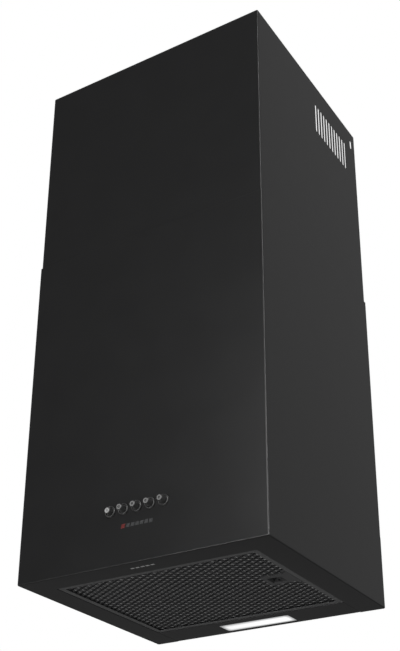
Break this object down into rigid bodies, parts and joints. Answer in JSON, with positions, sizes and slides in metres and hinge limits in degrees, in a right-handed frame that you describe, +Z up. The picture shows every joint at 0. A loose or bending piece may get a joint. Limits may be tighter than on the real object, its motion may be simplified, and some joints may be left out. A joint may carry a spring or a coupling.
{
  "type": "wall-mounted chimney cooker hood",
  "caption": "Black box-shaped wall hood: folded casing with a sliding vented chimney cover, push buttons, drop-down mesh filter with a finger latch, lamp strip and a duct blower inside.",
  "frame": {"origin": "on the back panel's wall face, midway between its two keyholes", "axes": "+Z up, +Y into the wall, +X to the right as one faces the hood"},
  "size_m": [0.4, 0.372, 0.87],
  "materials": {
    "black_paint": "satin black powder coat",
    "zinc_steel": "bright zinc plate",
    "bright_steel": "ground steel",
    "black_plastic": "moulded, fine texture",
    "button_plastic": "moulded, with a lighter ring on the tip",
    "latch_plastic": "moulded, fine texture",
    "duct_plastic": "moulded",
    "grey_plastic": "moulded",
    "fan_plastic": "moulded",
    "gland_plastic": "moulded",
    "white_plastic": "moulded",
    "lamp_lens": "frosted",
    "circuit_board": "white solder mask",
    "filter_aluminium": "black anodised",
    "filter_mesh": "black anodised expanded mesh"
  },
  "bodies": {
    "casing": {"lower_casing": "black_paint", "lamp_panel": "black_paint", "back_panel": "zinc_steel", "back_screw_left_lower": "zinc_steel", "back_screw_left_upper": "zinc_steel", "back_screw_right_lower": "zinc_steel", "back_screw_right_upper": "zinc_steel", "switch_bracket": "zinc_steel", "blower_cradle": "zinc_steel", "motor_body": "zinc_steel", "motor_spider": "zinc_steel", "flap_pin": "bright_steel", "light_spring": "bright_steel", "stop_spring": "bright_steel", "speed_1_spring": "bright_steel", "speed_2_spring": "bright_steel", "speed_3_spring": "bright_steel", "switch_body": "black_plastic", "light_collar": "black_plastic", "stop_collar": "black_plastic", "speed_1_collar": "black_plastic", "speed_2_collar": "black_plastic", "speed_3_collar": "black_plastic", "outlet_collar": "duct_plastic", "blower_wrap": "grey_plastic", "blower_side_left": "grey_plastic", "blower_side_right": "grey_plastic", "terminal_box": "grey_plastic", "terminal_cover": "grey_plastic", "cable_gland": "gland_plastic", "lamp_housing": "white_plastic", "lamp_driver": "white_plastic", "motor_capacitor": "white_plastic", "lamp_lens": "lamp_lens", "lamp_board": "circuit_board"},
    "chimney": {"upper_chimney": "black_paint"},
    "rotor": {"impeller": "fan_plastic", "impeller_nut": "zinc_steel", "motor_shaft": "bright_steel"},
    "front_flap": {"flap_front": "duct_plastic"},
    "rear_flap": {"flap_rear": "duct_plastic"},
    "filter": {"filter_frame": "filter_aluminium", "filter_mesh_outer": "filter_mesh", "filter_mesh_middle": "filter_mesh", "filter_mesh_inner": "filter_mesh", "latch_housing": "latch_plastic", "latch_spring_front": "bright_steel", "latch_spring_rear": "bright_steel"},
    "latch": {"latch_slider": "latch_plastic"},
    "light_push": {"light_button": "button_plastic"},
    "stop_push": {"stop_button": "button_plastic"},
    "speed_1_push": {"speed_1_button": "button_plastic"},
    "speed_2_push": {"speed_2_button": "button_plastic"},
    "speed_3_push": {"speed_3_button": "button_plastic"}
  },
  "joints": [
    {"name": "chimney_slide", "type": "slide", "parent": "casing", "child": "chimney", "axis": [0, 0, 1], "range_m": [-0.28, 0.08]},
    {"name": "filter_swing", "type": "hinge", "parent": "casing", "child": "filter", "pos_m": [-0.16, -0.19, -0.3294], "axis": [0, 1, 0], "range_deg": [0, 80]},
    {"name": "latch_slide", "type": "slide", "parent": "filter", "child": "latch", "axis": [-1, 0, 0], "range_m": [0, 0.005], "stiffness_N_per_m": 300, "springref_m": -0.004, "deforming": ["latch_spring_front", "latch_spring_rear"]},
    {"name": "rotor_spin", "type": "hinge", "parent": "casing", "child": "rotor", "pos_m": [0, -0.182, -0.092], "axis": [1, 0, 0], "continuous": true},
    {"name": "front_flap_swing", "type": "hinge", "parent": "casing", "child": "front_flap", "pos_m": [0, -0.126, 0.065], "axis": [-1, 0, 0], "range_deg": [0, 80]},
    {"name": "rear_flap_swing", "type": "hinge", "parent": "casing", "child": "rear_flap", "pos_m": [0, -0.126, 0.065], "axis": [1, 0, 0], "range_deg": [0, 80]},
    {"name": "light_press", "type": "slide", "parent": "casing", "child": "light_push", "axis": [0, 1, 0], "range_m": [-0.003, 0.001], "deforming": ["light_spring"]},
    {"name": "stop_press", "type": "slide", "parent": "casing", "child": "stop_push", "axis": [0, 1, 0], "range_m": [0, 0.004], "stiffness_N_per_m": 400, "springref_m": -0.004, "deforming": ["stop_spring"]},
    {"name": "speed_1_press", "type": "slide", "parent": "casing", "child": "speed_1_push", "axis": [0, 1, 0], "range_m": [0, 0.004], "stiffness_N_per_m": 400, "springref_m": -0.004, "deforming": ["speed_1_spring"]},
    {"name": "speed_2_press", "type": "slide", "parent": "casing", "child": "speed_2_push", "axis": [0, 1, 0], "range_m": [0, 0.004], "stiffness_N_per_m": 400, "springref_m": -0.004, "deforming": ["speed_2_spring"]},
    {"name": "speed_3_press", "type": "slide", "parent": "casing", "child": "speed_3_push", "axis": [0, 1, 0], "range_m": [0, 0.004], "stiffness_N_per_m": 400, "springref_m": -0.004, "deforming": ["speed_3_spring"]}
  ]
}
